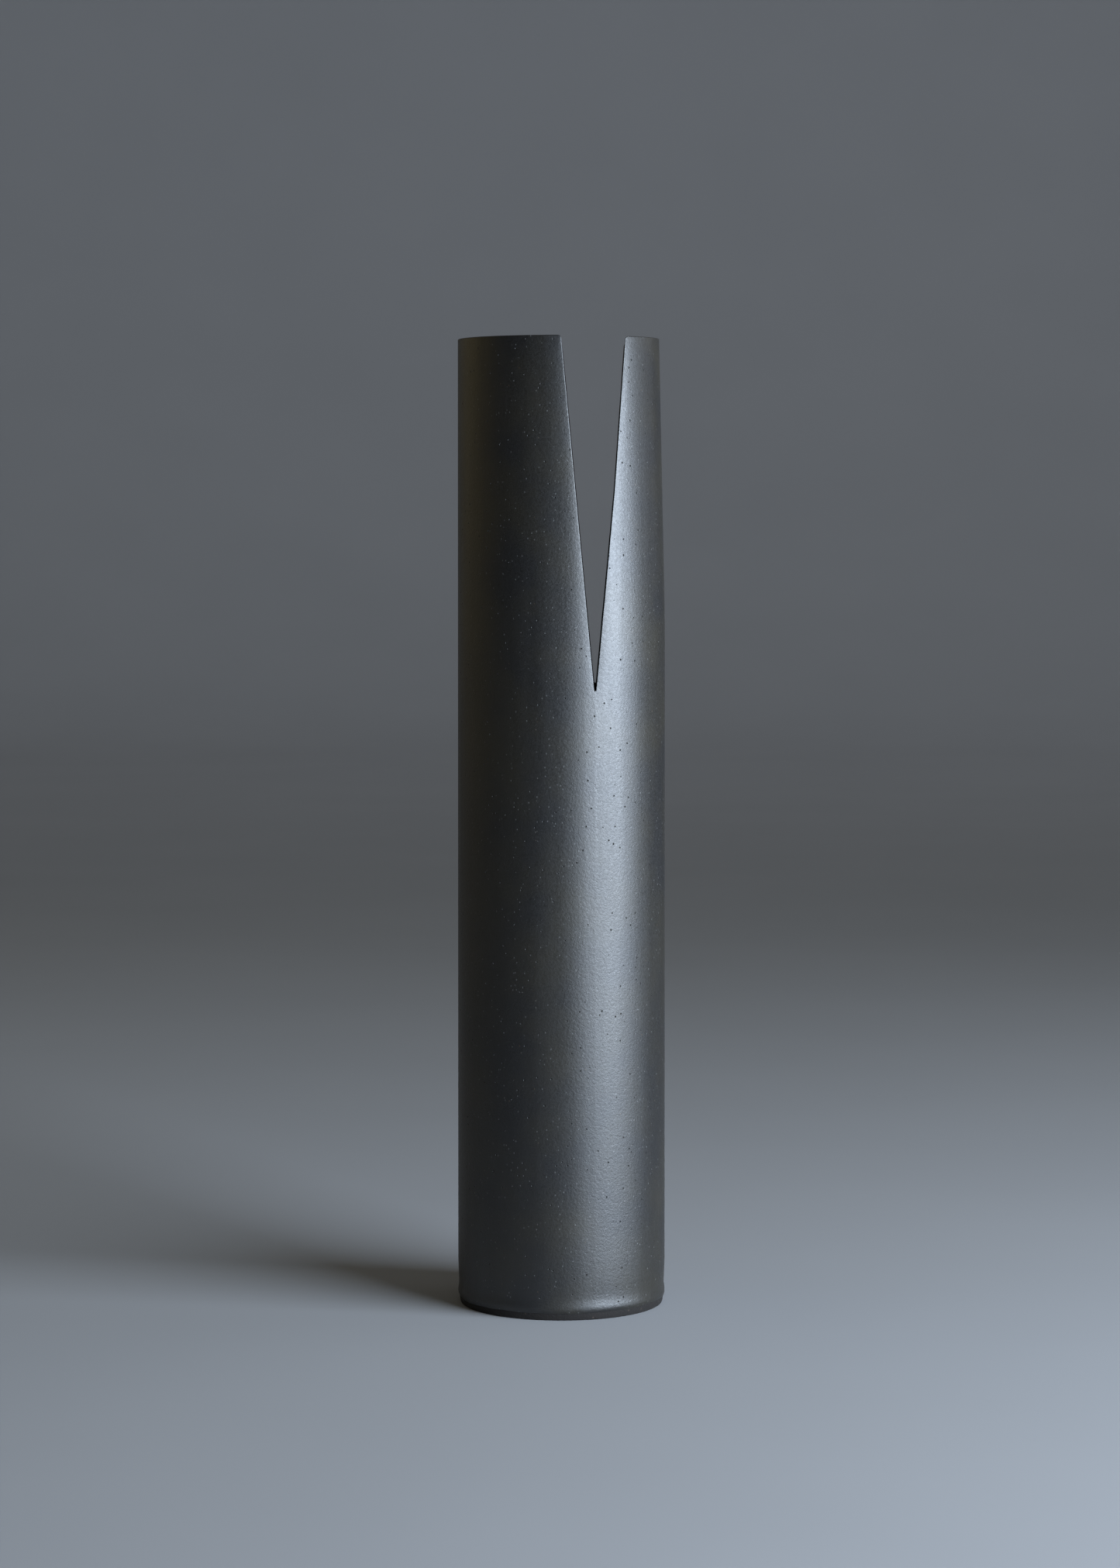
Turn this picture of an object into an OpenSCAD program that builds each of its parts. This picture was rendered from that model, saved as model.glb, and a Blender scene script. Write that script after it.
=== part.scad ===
// Tall stoneware cylinder vase with one long V notch through both sides of its rim.
// It stands on Z = 0 with its axis on +Z. The notch runs along Y and opens upwards.
// The narrow prong on the +X side of the notch leans in towards the axis.

/* [Vase] */
// Height of the vase
height = 300; // [240:5:400]
// Outer diameter, over the glaze
diameter = 64.5; // [58:0.5:90]
// Wall thickness, with its glaze
wall = 4.5; // [3.5:0.25:6]
// Radius of the rim's two arrises
rim_round = 0.5; // [0.3:0.1:0.8]

/* [Notch] */
// Depth of the notch below the rim
notch_depth = 108; // [60:1:140]
// Distance of the notch's tip from the axis, along +X
notch_offset = 10.5; // [4:0.1:12]
// Width of the notch at the rim, on the -X side of its tip
notch_left = 10.4; // [5:0.2:16]
// Width of the notch at the rim, on the +X side of its tip, before the prong leans
notch_right = 10.2; // [5:0.2:13]
// Width of the flat end at the notch's tip
notch_end = 0.5; // [0.4:0.05:1.2]

/* [Leaning prong] */
// Angle by which the narrow prong leans in
lean = 1.2; // [0:0.1:2.5]
// Height of the bend above the notch's tip
bend_rise = 21; // [10:1:50]
// Height of the bend in the prong's cut edge, above the prong's own bend
edge_rise = 40; // [5:1:45]

/* [Foot] */
// Width of the bevel around the foot, in from the outer diameter
bevel_w = 1; // [0.8:0.1:2]
// Height of the bevel around the foot
bevel_h = 2.2; // [1:0.1:3.5]

/* [Clay and glaze] */
// Thickness of the clay disc that closes the foot
floor_t = 5; // [4.5:0.5:9]
// Thickness of the fired slip between the disc and the wall
slip_t = 0.4; // [0.3:0.05:0.8]
// Reach of the coil up the wall and across the floor
coil = 4; // [2.5:0.5:7]
// Thickness of the glaze coats
glaze_t = 0.4; // [0.3:0.05:0.5]

/* [Hidden] */
$fn = 96;

// Radii of the outside, the bare clay and the two faces of the liner coat
r_out = diameter / 2;
r_clay = r_out - glaze_t;
r_bore = r_out - wall;
r_clay_bore = r_bore + glaze_t;

// Heights of the clay's rim, the wall's foot, the notch's tip, the prong's bend and its cut edge's bend
z_clay_rim = height - glaze_t;
z_wall = floor_t + slip_t;
z_tip = height - notch_depth;
z_bend = z_tip + bend_rise;
z_kink = min(z_bend + edge_rise, height - 3);

// Slopes of the notch's faces, away from the vertical
left_angle = atan((notch_left - notch_end / 2) / notch_depth);
right_angle = atan((notch_right - notch_end / 2) / notch_depth);
upper_angle = right_angle - lean;
kink_angle = (right_angle + upper_angle) / 2;

// The prong's bend lies along Y through its middle. Its cut edge bends higher up, clear of that seam
x_prong = notch_offset + notch_end / 2 + bend_rise * tan(right_angle);
x_bend = (x_prong + r_out) / 2;
x_kink = notch_offset + notch_end / 2 + (z_kink - z_tip) * tan(right_angle);

// How far cutting shapes run past the vase
past = 20;

clay_colour = "#3b342f";
slip_colour = "#4a423b";
glaze_colour = "#2e3136";

// A ring with a square section, from its inner to its outer radius and between two heights
module ring(r_in, r_max, z_low, z_high) {
    rotate_extrude()
        translate([r_in, z_low])
            square([r_max - r_in, z_high - z_low]);
}

// The notch as a solid, with every face moved outwards by grow
module notch(grow = 0) {
    z_end = z_tip - grow;
    z_top = height + past;
    x_left = notch_offset - notch_end / 2 - grow / cos(left_angle);
    x_right = notch_offset + notch_end / 2 + grow / cos(right_angle);
    kink_grow = grow / cos(lean / 2);
    kink = [x_kink + kink_grow * cos(kink_angle), z_kink - kink_grow * sin(kink_angle)];
    rotate([90, 0, 0])
        linear_extrude(diameter + 2 * past, center = true)
            polygon([
                [x_left + grow * tan(left_angle), z_end],
                [x_right - grow * tan(right_angle), z_end],
                kink,
                [kink[0] + (z_top - kink[1]) * tan(upper_angle), z_top],
                [x_left - (z_top - z_tip) * tan(left_angle), z_top]
            ]);
}

// The prong's space, in the frame of the plane halfway through the bend: above that plane, beyond the tip
module prong_zone() {
    translate([notch_offset - x_bend, -diameter, 0])
        cube([2 * diameter, 2 * diameter, height]);
}

// A tube with its prong bent in. It is put together in the frame of the plane halfway through the
// bend, where the halves lean by the same angle either way, so their sections there are equal exactly
module bent() {
    half_lean = lean / 2;
    translate([x_bend, 0, z_bend])
        rotate([0, -half_lean, 0]) {
            difference() {
                rotate([0, half_lean, 0])
                    translate([-x_bend, 0, -z_bend])
                        children();
                prong_zone();
            }
            intersection() {
                rotate([0, -half_lean, 0])
                    translate([-x_bend, 0, -z_bend])
                        children();
                prong_zone();
            }
        }
}

// Half of the glazed wall's section, with both rim arrises rounded
module glazed_section() {
    z_round = height - rim_round;
    translate([r_bore, bevel_h])
        square([wall, z_round - bevel_h]);
    translate([r_bore + rim_round, z_round])
        square([wall - 2 * rim_round, rim_round]);
    for (x = [r_bore + rim_round, r_out - rim_round])
        translate([x, z_round])
            circle(rim_round);
}

// What the outer coat lies on: the bare clay's outside, rim and cut faces, with its bore filled in
module clay_core() {
    difference() {
        bent()
            cylinder(h = z_clay_rim, r = r_clay);
        notch(glaze_t);
    }
}

// The fired tube: it stands on the slip, and its cut faces lie under the glaze
module clay_wall() {
    color(clay_colour)
        difference() {
            bent()
                ring(r_clay_bore, r_clay, z_wall, z_clay_rim);
            notch(glaze_t);
        }
}

// The disc that closes the foot, with the bevel around its bare underside
module floor_slab() {
    color(clay_colour)
        rotate_extrude()
            polygon([
                [0, 0],
                [r_out - bevel_w, 0],
                [r_clay, bevel_h],
                [r_clay, floor_t],
                [0, floor_t]
            ]);
}

// The fired slip between the top of the disc and the end of the wall
module luting_slip() {
    color(slip_colour)
        ring(r_clay_bore, r_clay, floor_t, z_wall);
}

// The coil pressed into the inner corner, smoothed to a slope
module corner_coil() {
    color(clay_colour)
        rotate_extrude()
            polygon([
                [r_clay_bore - coil, floor_t],
                [r_clay_bore, floor_t],
                [r_clay_bore, floor_t + coil]
            ]);
}

// The satin black coat: the outside, the rim and the cut faces, down to the bevel
module outer_glaze() {
    color(glaze_colour)
        difference() {
            bent()
                rotate_extrude()
                    glazed_section();
            notch();
            clay_core();
        }
}

// The coat inside: the wall, the coil's slope and the floor
module liner_glaze() {
    corner = glaze_t * (sqrt(2) - 1);
    color(glaze_colour)
        difference() {
            bent()
                rotate_extrude()
                    polygon([
                        [0, floor_t],
                        [r_clay_bore - coil, floor_t],
                        [r_clay_bore, floor_t + coil],
                        [r_clay_bore, z_clay_rim],
                        [r_bore, z_clay_rim],
                        [r_bore, floor_t + coil + corner],
                        [r_clay_bore - coil - corner, floor_t + glaze_t],
                        [0, floor_t + glaze_t]
                    ]);
            notch(glaze_t);
        }
}

clay_wall();
floor_slab();
luting_slip();
corner_coil();
outer_glaze();
liner_glaze();
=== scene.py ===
"""A tall notched cylinder vase in dark stoneware with a satin black glaze, put together as it is made."""

import math

import bmesh
import bpy
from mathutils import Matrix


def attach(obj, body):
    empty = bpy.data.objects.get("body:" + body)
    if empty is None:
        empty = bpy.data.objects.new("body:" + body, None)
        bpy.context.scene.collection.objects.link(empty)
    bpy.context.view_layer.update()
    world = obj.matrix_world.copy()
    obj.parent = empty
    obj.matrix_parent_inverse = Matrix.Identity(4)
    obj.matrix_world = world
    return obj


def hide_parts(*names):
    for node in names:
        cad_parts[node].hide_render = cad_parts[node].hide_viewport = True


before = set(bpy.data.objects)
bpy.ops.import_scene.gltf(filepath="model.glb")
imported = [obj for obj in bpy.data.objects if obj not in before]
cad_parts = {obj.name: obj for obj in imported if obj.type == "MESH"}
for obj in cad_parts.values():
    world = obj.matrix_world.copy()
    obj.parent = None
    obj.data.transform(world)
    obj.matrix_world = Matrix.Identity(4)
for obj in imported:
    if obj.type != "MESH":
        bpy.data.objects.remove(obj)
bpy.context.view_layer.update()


# ---------------------------------------------------------------------------------------------
# The clay wall: a rolled slab of dark stoneware made into a tube, cut with the notch.
# It stands on the foot disc, stuck down with slip. All of it but its buried end is glazed.

MM = 0.001


def linear(colour):
    """A hex sRGB colour as linear red, green, blue and alpha."""
    values = [int(colour[i:i + 2], 16) / 255 for i in (1, 3, 5)]
    return tuple(v / 12.92 if v <= 0.04045 else ((v + 0.055) / 1.055) ** 2.4 for v in values) + (1,)


def add(tree, kind, settings=None, links=None):
    """Adds a node. Capital or numbered settings are its inputs, and the others its properties."""
    node = tree.nodes.new(kind)
    for name, value in (settings or {}).items():
        if isinstance(name, int) or name[0].isupper():
            node.inputs[name].default_value = value
        else:
            setattr(node, name, value)
    for name, output in (links or {}).items():
        tree.links.new(output, node.inputs[name])
    return node


def new_material(name, settings):
    """A material with one Principled shader, its tree, its shader and its Object coordinates."""
    material = bpy.data.materials.new(name)
    material.use_nodes = True
    tree = material.node_tree
    tree.nodes.clear()
    shader = add(tree, "ShaderNodeBsdfPrincipled", settings)
    add(tree, "ShaderNodeOutputMaterial", links={"Surface": shader.outputs["BSDF"]})
    place = add(tree, "ShaderNodeTexCoord").outputs["Object"]
    return material, tree, shader, place


def finish_with(piece, material):
    """Gives the whole piece one material."""
    piece.data.materials.clear()
    piece.data.materials.append(material)


# Reduction-fired stoneware with fine grog: dry, brown-black, with paler grit in it. Its tone drifts
# over patches of 5.6 mm, and its surface has a tooth of 0.6 mm
dark_stoneware, tree, shader, place = new_material("dark stoneware", {"Roughness": 0.86, "IOR": 1.5})
body_tone = add(tree, "ShaderNodeTexNoise", {"Scale": 180, "Detail": 4}, {"Vector": place})
body_colour = add(tree, "ShaderNodeMix", {"data_type": "RGBA", 6: linear("#0e0c0a"), 7: linear("#1d1713")},
                  {0: body_tone.outputs["Fac"]})
# Grog of 0.5 mm, spread about 2 mm apart
grog = add(tree, "ShaderNodeTexVoronoi", {"Scale": 500}, {"Vector": place})
grog_spot = add(tree, "ShaderNodeMapRange", {1: 0.10, 2: 0.16, 3: 1.0, 4: 0.0},
                {0: grog.outputs["Distance"]})
grog_colour = add(tree, "ShaderNodeMix", {"data_type": "RGBA", 7: linear("#3a3029")},
                  {0: grog_spot.outputs[0], 6: body_colour.outputs[2]})
tree.links.new(grog_colour.outputs[2], shader.inputs["Base Color"])
tooth = add(tree, "ShaderNodeTexNoise", {"Scale": 1600, "Detail": 3}, {"Vector": place})
tooth_bump = add(tree, "ShaderNodeBump", {"Strength": 1.0, "Distance": 0.12 * MM},
                 {"Height": tooth.outputs["Fac"]})
tree.links.new(tooth_bump.outputs["Normal"], shader.inputs["Normal"])
finish_with(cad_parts["clay_wall"], dark_stoneware)


# ---------------------------------------------------------------------------------------------
# The luting slip: the same clay let down with water, spread between the disc and the wall.
# Fired, it is a thin ring without grog that holds the two together.

# Fired slip: finer and smoother than the body, a shade paler, with a tone that drifts over 1.4 mm
fired_slip, tree, shader, place = new_material("fired slip", {"Roughness": 0.78, "IOR": 1.5})
slip_tone = add(tree, "ShaderNodeTexNoise", {"Scale": 700, "Detail": 2}, {"Vector": place})
slip_colour = add(tree, "ShaderNodeMix", {"data_type": "RGBA", 6: linear("#2f2722"), 7: linear("#463b33")},
                  {0: slip_tone.outputs["Fac"]})
tree.links.new(slip_colour.outputs[2], shader.inputs["Base Color"])
finish_with(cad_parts["luting_slip"], fired_slip)


# ---------------------------------------------------------------------------------------------
# The corner coil: a soft roll of the same clay, pressed into the corner inside the foot.
# It is smoothed to a slope by finger, and the liner glaze covers it.

finish_with(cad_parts["corner_coil"], dark_stoneware)


# ---------------------------------------------------------------------------------------------
# The foot disc: a slab of dark stoneware that closes the tube. Its edge is bevelled with a
# sponge so the glaze stops clear of the shelf, and its underside and bevel are left bare.

def in_metres(profile):
    """A profile of radii and heights in millimetres, in metres."""
    return [(r * MM, z * MM) for r, z in profile]


# Radius and height of each ring, from the flat underside up the bevel to the disc's top
FOOT_RINGS = in_metres(((31.25, 0), (31.44, 0.12), (31.58, 0.45), (31.72, 1.5), (31.8, 2.3), (31.85, 3.2),
                        (31.85, 5)))


def select_alone(piece):
    """Selects one piece, makes it active and leaves nothing else selected."""
    bpy.ops.object.select_all(action="DESELECT")
    piece.select_set(True)
    bpy.context.view_layer.objects.active = piece


def edit(piece):
    """Selects one piece alone and goes into edit mode on it."""
    select_alone(piece)
    bpy.ops.object.mode_set(mode="EDIT")


def leave():
    """Goes back to object mode."""
    bpy.ops.object.mode_set(mode="OBJECT")


def choose(piece, kind, test):
    """In edit mode, selects the vertices, edges or faces that pass the test and nothing else."""
    bpy.ops.mesh.select_mode(type=kind)
    bpy.ops.mesh.select_all(action="DESELECT")
    mesh = bmesh.from_edit_mesh(piece.data)
    mesh.normal_update()
    for part in {"VERT": mesh.verts, "EDGE": mesh.edges, "FACE": mesh.faces}[kind]:
        if test(part):
            part.select_set(True)
    mesh.select_flush_mode()
    bmesh.update_edit_mesh(piece.data)


def place_in_mesh(piece):
    """Puts the object at the origin, with its place in its mesh."""
    select_alone(piece)
    bpy.ops.object.transform_apply(location=True, rotation=True, scale=True)


def smooth(piece, degrees):
    """Smooth shading, kept sharp where faces meet at more than the angle."""
    select_alone(piece)
    bpy.ops.object.shade_smooth_by_angle(angle=math.radians(degrees))


def extrude_along(profile, extrude):
    """Extrudes what is selected from ring to ring of a profile, with the operator given."""
    for (r_last, z_last), (r_next, z_next) in zip(profile, profile[1:]):
        extrude(TRANSFORM_OT_translate={"value": (0, 0, z_next - z_last)})
        widen = r_next / r_last
        bpy.ops.transform.resize(value=(widen, widen, 1), center_override=(0, 0, z_next))


bpy.ops.object.select_all(action="DESELECT")
bpy.ops.mesh.primitive_circle_add(vertices=192, radius=FOOT_RINGS[0][0], fill_type="NGON")
foot_disc = bpy.context.object
foot_disc.name = "foot_disc"
edit(foot_disc)
bpy.ops.mesh.select_all(action="SELECT")
extrude_along(FOOT_RINGS, bpy.ops.mesh.extrude_region_move)
bpy.ops.mesh.select_all(action="SELECT")
bpy.ops.mesh.normals_make_consistent(inside=False)
leave()
place_in_mesh(foot_disc)
smooth(foot_disc, 35)
finish_with(foot_disc, dark_stoneware)
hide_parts("floor_slab")
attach(foot_disc, "root")


# ---------------------------------------------------------------------------------------------
# The glaze coat: satin black glaze poured over the outside, the rim and the notch's cut faces.
# It softens every arris and stops in an uneven line just above the foot's bevel.

# The vase's height, its radii outside and in the bore, the coat's thickness and where its skin ends
HEIGHT = 300 * MM
R_OUT = 32.25 * MM
R_BORE = 27.75 * MM
COAT = 0.4 * MM
Z_EDGE = 2.2 * MM
# Place and width of the notch's flat end
TIP_X, TIP_Z, TIP_W = 10.5 * MM, 192 * MM, 0.5 * MM
# The cut faces lean out by these angles. The right one bends in at the kink
LEFT, RIGHT, KINK_Z = math.radians(5.369), math.radians(5.2638), 253 * MM
# Widths of the bevels on the prongs' corners and along every other arris
CORNER = 0.9 * MM
ARRIS = 0.25 * MM
# Two heights this close are one, and so are two radii this close
SAME_HEIGHT = 0.01 * MM
SAME_RADIUS = 0.05 * MM
# Beside the notch the first column is this wide, so that the corners' bevels stay inside it
MARGIN = 2.4 * MM
# The narrow prong leans by this angle, about a line along Y, in steps over the bend's length
LEAN, BEND_X, BEND_Z, BEND_LENGTH, BEND_STEPS = math.radians(1.2), 22.467 * MM, 213 * MM, 20 * MM, 10
# Radius and height of each ring of the roll where the glaze gathers, up to the waist over it
GLAZE_ROLL = in_metres(((31.88, 2.2), (32.0, 2.45), (32.12, 2.75), (32.21, 3.1), (32.25, 3.6), (32.18, 4.4),
                        (32.03, 5.5), (31.99, 7), (32.09, 9.17)))
# The glaze's lower edge wanders by at most this much in all, over this length, below this height
WANDER, WANDER_LENGTH, WANDER_TOP = 0.8 * MM, 12 * MM, 3.2 * MM


def apply_modifier(piece, kind, settings):
    """Adds a modifier, sets it and applies it."""
    select_alone(piece)
    modifier = piece.modifiers.new(kind.lower(), kind)
    for name, value in settings.items():
        setattr(modifier, name, value)
    bpy.ops.object.modifier_apply(modifier=modifier.name)


def radius(point):
    """Distance from the vase's axis."""
    return math.hypot(point.x, point.y)


# The tube's skin. Its columns stand 1.875 degrees apart
COLUMNS = 192
STEP = 2 * math.pi / COLUMNS
STRIP_LEFT, STRIP_RIGHT = 10 * STEP, 11 * STEP
bpy.ops.object.select_all(action="DESELECT")
bpy.ops.mesh.primitive_cylinder_add(vertices=COLUMNS, radius=R_OUT, depth=HEIGHT - Z_EDGE,
                                    end_fill_type="NOTHING", location=(0, 0, (HEIGHT + Z_EDGE) / 2))
glaze_coat = bpy.context.object
glaze_coat.name = "glaze_coat"
place_in_mesh(glaze_coat)
edit(glaze_coat)

# Rings up the tube: the roll's, the notch's tip, one every 6 mm clear of the bend and the kink, and
# then the kink's and the bend's own
rings = [z for r, z in GLAZE_ROLL[1:]] + [TIP_Z]
rings += [z * MM for z in range(14, 296, 6) if not 190 < z < 228 and abs(z - 253) > 2]
rings += [KINK_Z]
rings += [BEND_Z + BEND_LENGTH * (i / BEND_STEPS - 0.5) for i in range(BEND_STEPS + 1)]
for z in rings:
    bpy.ops.mesh.select_all(action="SELECT")
    bpy.ops.mesh.bisect(plane_co=(0, 0, z), plane_no=(0, 0, 1))

# A strip one column wide is cut out of the front and the back, and the wall gets its thickness
strip_middle = R_OUT * math.sin((STRIP_LEFT + STRIP_RIGHT) / 2)
choose(glaze_coat, "FACE", lambda f: f.calc_center_median().z > TIP_Z
       and abs(f.calc_center_median().x - strip_middle) < 0.2 * MM)
bpy.ops.mesh.delete(type="FACE")
leave()
apply_modifier(glaze_coat, "SOLIDIFY", {"thickness": R_OUT - R_BORE, "offset": -1, "use_even_offset": True})


def fan(column, last, half_turn, r):
    """The angle of a column, counted from the middle of its prong, whose edge is at half_turn."""
    if abs(column) == last:
        return math.copysign(half_turn, column)
    return column / (last - 1) * (half_turn - MARGIN / r)


def open_notch(piece):
    """Fans the columns out beside the strip until its sides are the notch's two flat cuts.

    A cut that crosses upright columns at six degrees can't be bevelled: the bevel slides
    along them and tears. Here the columns run beside the cut, and none crosses it. Each vertex
    is first put back on its own column, because the wall's thickness moves those at an edge.
    From the bend to the kink the right cut opens by the lean more, which the lean takes back.
    """
    last_left = COLUMNS // 4 + round(STRIP_LEFT / STEP)
    last_right = COLUMNS // 4 - round(STRIP_RIGHT / STEP)
    for v in piece.data.vertices:
        r = R_OUT if radius(v.co) > (R_OUT + R_BORE) / 2 else R_BORE
        rise = max(0, v.co.z - TIP_Z)
        x_left = TIP_X - TIP_W / 2 - rise * math.tan(LEFT)
        bent = min(max(0, v.co.z - BEND_Z), KINK_Z - BEND_Z)
        x_right = TIP_X + TIP_W / 2 + rise * math.tan(RIGHT) + bent * math.tan(LEAN)
        column = round(math.atan2(-v.co.y, -v.co.x) / STEP)
        if abs(column) <= last_left:
            turn = fan(column, last_left, math.pi / 2 + math.asin(x_left / r), r)
            v.co.x = -r * math.cos(turn)
        else:
            column = round(math.atan2(-v.co.y, v.co.x) / STEP)
            turn = fan(column, last_right, math.pi / 2 - math.asin(x_right / r), r)
            v.co.x = r * math.cos(turn)
        v.co.y = -r * math.sin(turn)


open_notch(glaze_coat)

# The prongs' corners at the rim, rubbed round before glazing
edit(glaze_coat)
choose(glaze_coat, "EDGE", lambda e: all(v.co.z > HEIGHT - SAME_HEIGHT for v in e.verts)
       and abs(radius(e.verts[0].co) - radius(e.verts[1].co)) > 2 * MM
       and e.calc_face_angle(0) > math.radians(45))
bpy.ops.mesh.bevel(offset=CORNER, segments=6, affect="EDGES", clamp_overlap=False)


def is_arris(e):
    """True for an edge of the rim or the notch that lies on the outside or in the bore."""
    ends = [v.co for v in e.verts]
    on_skin = any(all(abs(radius(p) - r) < SAME_RADIUS for p in ends) for r in (R_OUT, R_BORE))
    return on_skin and min(p.z for p in ends) > 10 * MM and e.calc_face_angle(0) > math.radians(25)


# The rim's arrises and the notch's outlines, softened by the glaze
choose(glaze_coat, "EDGE", is_arris)
bpy.ops.mesh.bevel(offset=ARRIS, segments=4, affect="EDGES", clamp_overlap=False)

# The bore belongs to the liner: it is marked before the prong leans, by the second of two slots
MARKS = ("coat mark", "liner mark")
for mark in MARKS:
    glaze_coat.data.materials.append(bpy.data.materials.new(mark))
choose(glaze_coat, "FACE", lambda f: all(abs(radius(v.co) - R_BORE) < SAME_RADIUS for v in f.verts))
glaze_coat.active_material_index = 1
bpy.ops.object.material_slot_assign()
choose(glaze_coat, "FACE", lambda f: f.normal.z < -0.9 and f.calc_center_median().z < 3 * MM)
bpy.ops.mesh.delete(type="FACE")

# The narrow prong leans in, a little at each ring of the bend
for i in range(BEND_STEPS):
    z = BEND_Z + BEND_LENGTH * ((i + 0.5) / BEND_STEPS - 0.5)
    choose(glaze_coat, "VERT", lambda v: v.co.x > TIP_X and v.co.z > z)
    bpy.ops.transform.rotate(value=LEAN / BEND_STEPS, orient_axis="Y", center_override=(BEND_X, 0, z))

# The liner's faces leave for their own piece
choose(glaze_coat, "FACE", lambda f: f.material_index == 1)
bpy.ops.mesh.separate(type="SELECTED")
leave()
liner_coat = next(o for o in bpy.context.selected_objects if o is not glaze_coat)
liner_coat.name = "liner_coat"

# The glaze gathers in a roll above its lower edge, with a slight waist over it, and turns under
edit(glaze_coat)
for r, z in GLAZE_ROLL:
    choose(glaze_coat, "VERT", lambda v: abs(v.co.z - z) < SAME_HEIGHT)
    draw_in = r / R_OUT
    bpy.ops.transform.resize(value=(draw_in, draw_in, 1), center_override=(0, 0, z))
leave()
edge_group = glaze_coat.vertex_groups.new(name="lower edge")
edge_group.add([v.index for v in glaze_coat.data.vertices if v.co.z < WANDER_TOP], 1, "REPLACE")
wander = bpy.data.textures.new("glaze line", "CLOUDS")
wander.noise_scale = WANDER_LENGTH
apply_modifier(glaze_coat, "DISPLACE", {"texture": wander, "texture_coords": "LOCAL", "direction": "Z",
                                        "strength": WANDER, "mid_level": 0.5,
                                        "vertex_group": "lower edge"})
glaze_coat.vertex_groups.clear()
apply_modifier(glaze_coat, "SOLIDIFY", {"thickness": COAT, "offset": -1, "use_even_offset": True})
smooth(glaze_coat, 45)

# Satin black glaze, high in iron and manganese: near black, a broad soft sheen, fine mottling
satin_black_glaze, tree, shader, place = new_material("satin black glaze", {"IOR": 1.7})
# Crystals of 0.3 mm, drawn at 0.8 mm so that they show
mottle = add(tree, "ShaderNodeTexNoise", {"Scale": 1250, "Detail": 3, "Roughness": 0.75}, {"Vector": place})
# Warmer patches of 18 mm
drift = add(tree, "ShaderNodeTexNoise", {"Scale": 55, "Detail": 3}, {"Vector": place})
# Runs 4 mm wide and several centimetres long, where the glaze flowed down the wall
flow = add(tree, "ShaderNodeMapping", {"Scale": (1, 1, 0.05)}, {"Vector": place})
runs = add(tree, "ShaderNodeTexNoise", {"Scale": 260, "Detail": 2}, {"Vector": flow.outputs["Vector"]})
base = add(tree, "ShaderNodeMix", {"data_type": "RGBA", 6: linear("#09090a"), 7: linear("#1b1a19")},
           {0: mottle.outputs["Fac"]})
warm_spread = add(tree, "ShaderNodeMapRange", {1: 0.35, 2: 0.7, 3: 0.0, 4: 0.5}, {0: drift.outputs["Fac"]})
warmed = add(tree, "ShaderNodeMix", {"data_type": "RGBA", 7: linear("#2a2516")},
             {0: warm_spread.outputs[0], 6: base.outputs[2]})
# Specks of 0.3 mm, several to the square centimetre
drawn_down = add(tree, "ShaderNodeMapping", {"Scale": (1, 1, 0.65)}, {"Vector": place})
specks = add(tree, "ShaderNodeTexVoronoi", {"Scale": 640}, {"Vector": drawn_down.outputs["Vector"]})
speck_spot = add(tree, "ShaderNodeMapRange", {1: 0.06, 2: 0.13, 3: 0.32, 4: 0.0},
                 {0: specks.outputs["Distance"]})
# Most specks are pale grey, and some are rust
speck_hue = add(tree, "ShaderNodeMapRange", {1: 0.72, 2: 0.85}, {0: specks.outputs["Color"]})
speck_colour = add(tree, "ShaderNodeMix", {"data_type": "RGBA", 6: linear("#8d8e8c"), 7: linear("#6e5a42")},
                   {0: speck_hue.outputs[0]})
specked = add(tree, "ShaderNodeMix", {"data_type": "RGBA"},
              {0: speck_spot.outputs[0], 6: warmed.outputs[2], 7: speck_colour.outputs[2]})
tree.links.new(specked.outputs[2], shader.inputs["Base Color"])
sheen = add(tree, "ShaderNodeMath", {"operation": "MULTIPLY_ADD", 1: 0.5},
            {0: runs.outputs["Fac"], 2: mottle.outputs["Fac"]})
roughness = add(tree, "ShaderNodeMapRange", {1: 0.4, 2: 1.1, 3: 0.37, 4: 0.54}, {0: sheen.outputs[0]})
# Pinholes of 0.5 mm, left where gas broke through the melt
pinholes = add(tree, "ShaderNodeTexVoronoi", {"Scale": 330}, {"Vector": place})
pin_depth = add(tree, "ShaderNodeMapRange", {1: 0.04, 2: 0.10, 3: -1.0, 4: 0.0},
                {0: pinholes.outputs["Distance"]})
# A pinhole scatters what the skin round it mirrors, so it reads as a dark point in the sheen
dulled = add(tree, "ShaderNodeMath", {"operation": "MULTIPLY_ADD", 1: -0.5},
             {0: pin_depth.outputs[0], 2: roughness.outputs[0]})
tree.links.new(dulled.outputs[0], shader.inputs["Roughness"])
skin = add(tree, "ShaderNodeMath", {"operation": "MULTIPLY_ADD", 1: 4.0},
           {0: pin_depth.outputs[0], 2: mottle.outputs["Fac"]})
skin_bump = add(tree, "ShaderNodeBump", {"Strength": 1.0, "Distance": 0.08 * MM},
                {"Height": skin.outputs[0]})
tree.links.new(skin_bump.outputs["Normal"], shader.inputs["Normal"])

finish_with(glaze_coat, satin_black_glaze)
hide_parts("outer_glaze")
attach(glaze_coat, "root")


# ---------------------------------------------------------------------------------------------
# The liner coat: the same glaze, swilled round the inside and poured out, so that the vase
# holds water. It covers the bore, the coil's slope and the floor in one skin.

# Radius and height of each ring, from the top of the coil's slope down to the floor's middle
LINER_RINGS = in_metres(((27.75, 9.17), (27.55, 8.95), (26.4, 7.82), (25.2, 6.62), (24.4, 5.84),
                         (24.05, 5.54), (23.6, 5.42), (22.5, 5.4), (12, 5.4), (2, 5.4)))
Z_COIL = LINER_RINGS[0][1]

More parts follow.
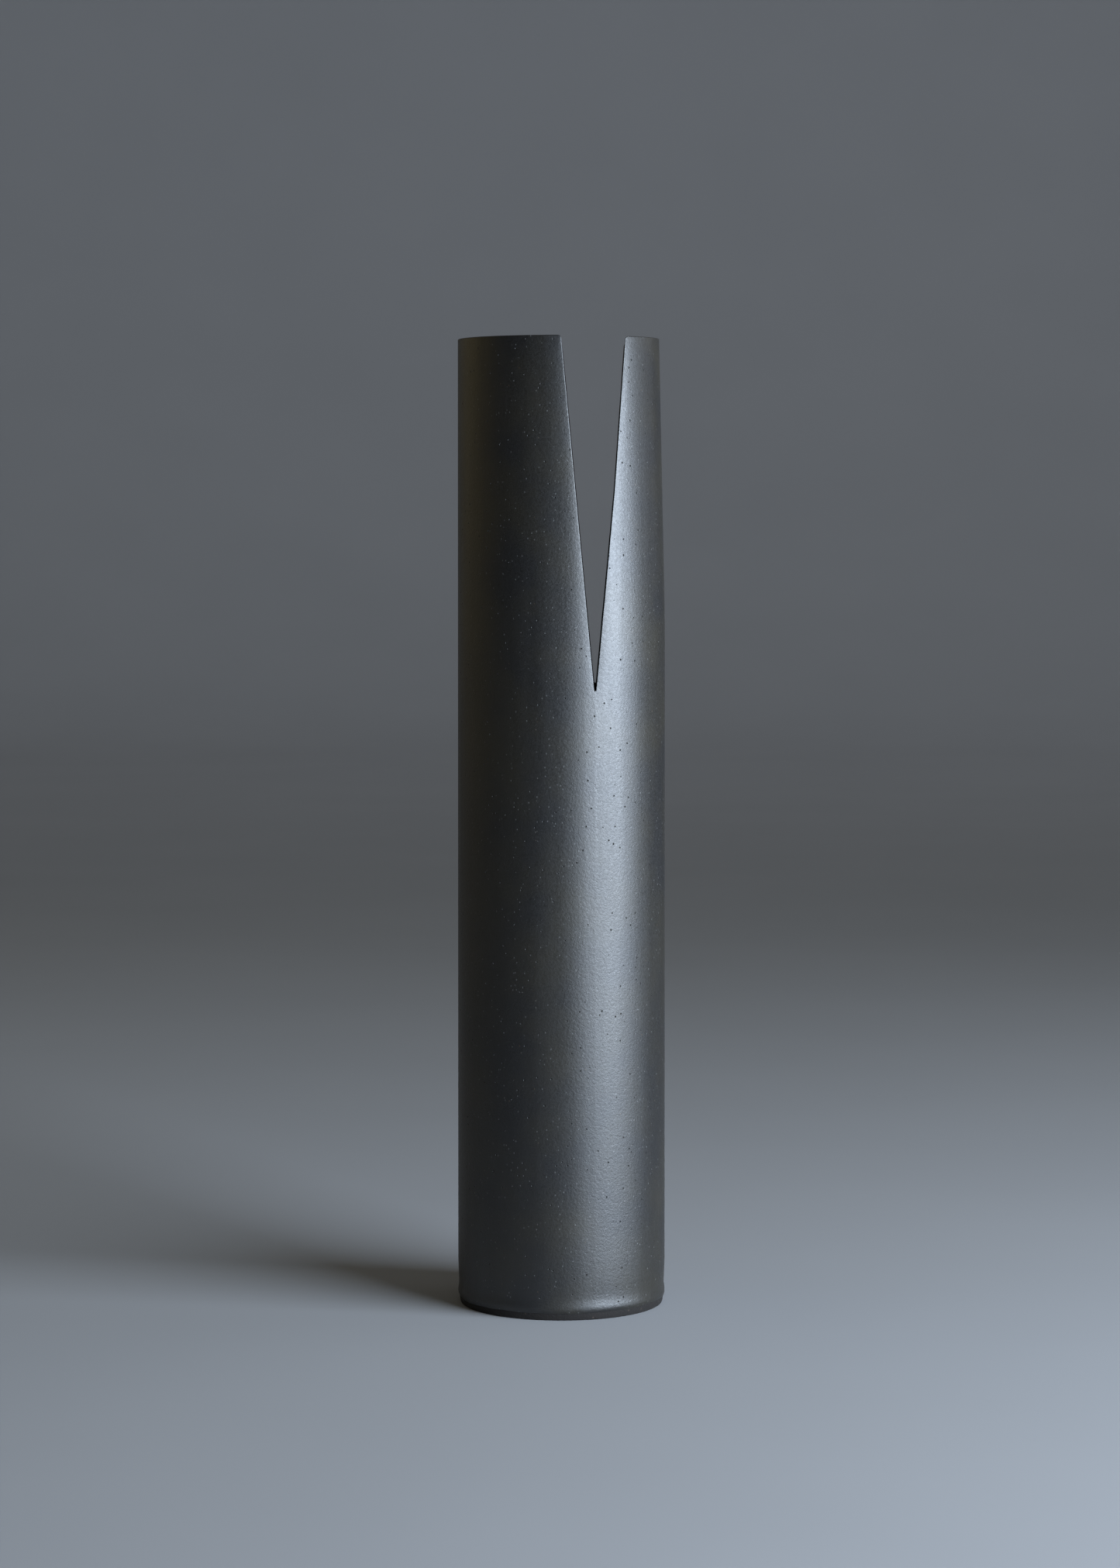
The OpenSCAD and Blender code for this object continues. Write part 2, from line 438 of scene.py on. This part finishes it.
edit(liner_coat)
choose(liner_coat, "VERT", lambda v: v.co.z < Z_COIL - SAME_HEIGHT)
bpy.ops.mesh.delete(type="VERT")
choose(liner_coat, "VERT", lambda v: abs(v.co.z - Z_COIL) < SAME_HEIGHT)
bpy.ops.mesh.select_mode(type="EDGE")
extrude_along(LINER_RINGS, bpy.ops.mesh.extrude_edges_move)
bpy.ops.mesh.edge_face_add()
bpy.ops.mesh.select_all(action="SELECT")
bpy.ops.mesh.normals_make_consistent(inside=False)
leave()
# The sheet is open, so its normals may all have come out either way: they face the axis
wall_face = next(f for f in liner_coat.data.polygons if 100 * MM < f.center.z < 150 * MM)
if wall_face.normal.dot((wall_face.center.x, wall_face.center.y, 0)) > 0:
    edit(liner_coat)
    bpy.ops.mesh.select_all(action="SELECT")
    bpy.ops.mesh.flip_normals()
    leave()
apply_modifier(liner_coat, "SOLIDIFY", {"thickness": COAT, "offset": -1, "use_even_offset": True})
smooth(liner_coat, 45)
finish_with(liner_coat, satin_black_glaze)
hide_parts("liner_glaze")
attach(liner_coat, "root")
for mark in MARKS:
    bpy.data.materials.remove(bpy.data.materials[mark])


# ---------------------------------------------------------------------------------------------
# The studio: a round pale floor that curves up into a pale wall on every side, a softbox on the
# right, a lamp on the wall behind, a dim card at the back on each side for the vase's edges, dim
# even light all round, and the camera.

# Seamless background paper: matt, even, with the slightest drift of tone
pale_paper, tree, shader, place = new_material("pale paper", {"Roughness": 0.9})
paper_tone = add(tree, "ShaderNodeTexNoise", {"Scale": 6, "Detail": 2}, {"Vector": place})
paper_colour = add(tree, "ShaderNodeMix", {"data_type": "RGBA", 6: linear("#acadaf"), 7: linear("#b2b3b5")},
                   {0: paper_tone.outputs["Fac"]})
tree.links.new(paper_colour.outputs[2], shader.inputs["Base Color"])
bpy.ops.object.select_all(action="DESELECT")
FLOOR_RADIUS, COVE, WALL_TOP = 2.8, 1.2, 3.4
bpy.ops.mesh.primitive_circle_add(vertices=96, radius=FLOOR_RADIUS, fill_type="NGON")
sweep = bpy.context.object
sweep.name = "sweep"
edit(sweep)
cove_rings = [(FLOOR_RADIUS, 0)]
for i in range(1, 13):
    turn = math.radians(7.5 * i)
    cove_rings.append((FLOOR_RADIUS + COVE * math.sin(turn), COVE * (1 - math.cos(turn))))
cove_rings.append((FLOOR_RADIUS + COVE, WALL_TOP))
choose(sweep, "EDGE", lambda e: True)
extrude_along(cove_rings, bpy.ops.mesh.extrude_edges_move)
leave()
smooth(sweep, 60)
finish_with(sweep, pale_paper)

world = bpy.data.worlds.new("studio")
world.use_nodes = True
world.node_tree.nodes["Background"].inputs["Color"].default_value = linear("#c6c0b0")
world.node_tree.nodes["Background"].inputs["Strength"].default_value = 0.2
bpy.context.scene.world = world


def area_light(name, size, height, energy, colour, spread):
    """A rectangular lamp that no camera sees, its light kept within the spread angle."""
    lamp = bpy.data.objects.new(name, bpy.data.lights.new(name, "AREA"))
    bpy.context.scene.collection.objects.link(lamp)
    lamp.data.shape = "RECTANGLE"
    lamp.data.size = size
    lamp.data.size_y = height
    lamp.data.energy = energy
    lamp.data.color = linear(colour)[:3]
    lamp.data.spread = math.radians(spread)
    lamp.visible_camera = False
    return lamp


def stand_round(thing, turn, distance, height, pitch=0):
    """Stands a lamp or the camera at a turn from the vase's front, facing its axis and tipped down."""
    thing.location = (distance * math.sin(turn), -distance * math.cos(turn), height)
    thing.rotation_euler = (math.radians(90) - pitch, 0, turn)


CARD_TURN, CARD_DISTANCE = math.radians(112), 1.4
softbox = area_light("softbox", 0.9, 0.5, 20, "#deedff", 140)
stand_round(softbox, math.radians(54), 1.05, 0.31)
wall_lamp = area_light("wall lamp", 2.4, 0.6, 12, "#e6f0ff", 150)
wall_lamp.location = (0.6, 1.5, 2.6)
wall_lamp.rotation_euler = (math.radians(62), 0, math.radians(-8))
# Dim and warm, behind on the left, so the dark side keeps an olive edge
warm_card = area_light("warm card", 1.5, 0.6, 0.34, "#ffe28c", 120)
stand_round(warm_card, -CARD_TURN, CARD_DISTANCE, 0.5)
# Its cool twin on the right lifts the edge of the narrow prong
cool_card = area_light("cool card", 0.9, 0.5, 0.55, "#f2f6ff", 120)
stand_round(cool_card, CARD_TURN, CARD_DISTANCE, 0.58)

camera = bpy.data.objects.new("camera", bpy.data.cameras.new("camera"))
bpy.context.scene.collection.objects.link(camera)
camera.data.lens = 87.215
camera.data.sensor_width = 36
# The view is nearly level, with its frame lowered
camera.data.shift_x = -0.0009
camera.data.shift_y = -0.12
stand_round(camera, math.radians(0.45), 1.184, 0.2434, math.radians(1.12))
bpy.context.scene.camera = camera
bpy.context.scene.view_settings.view_transform = "Standard"
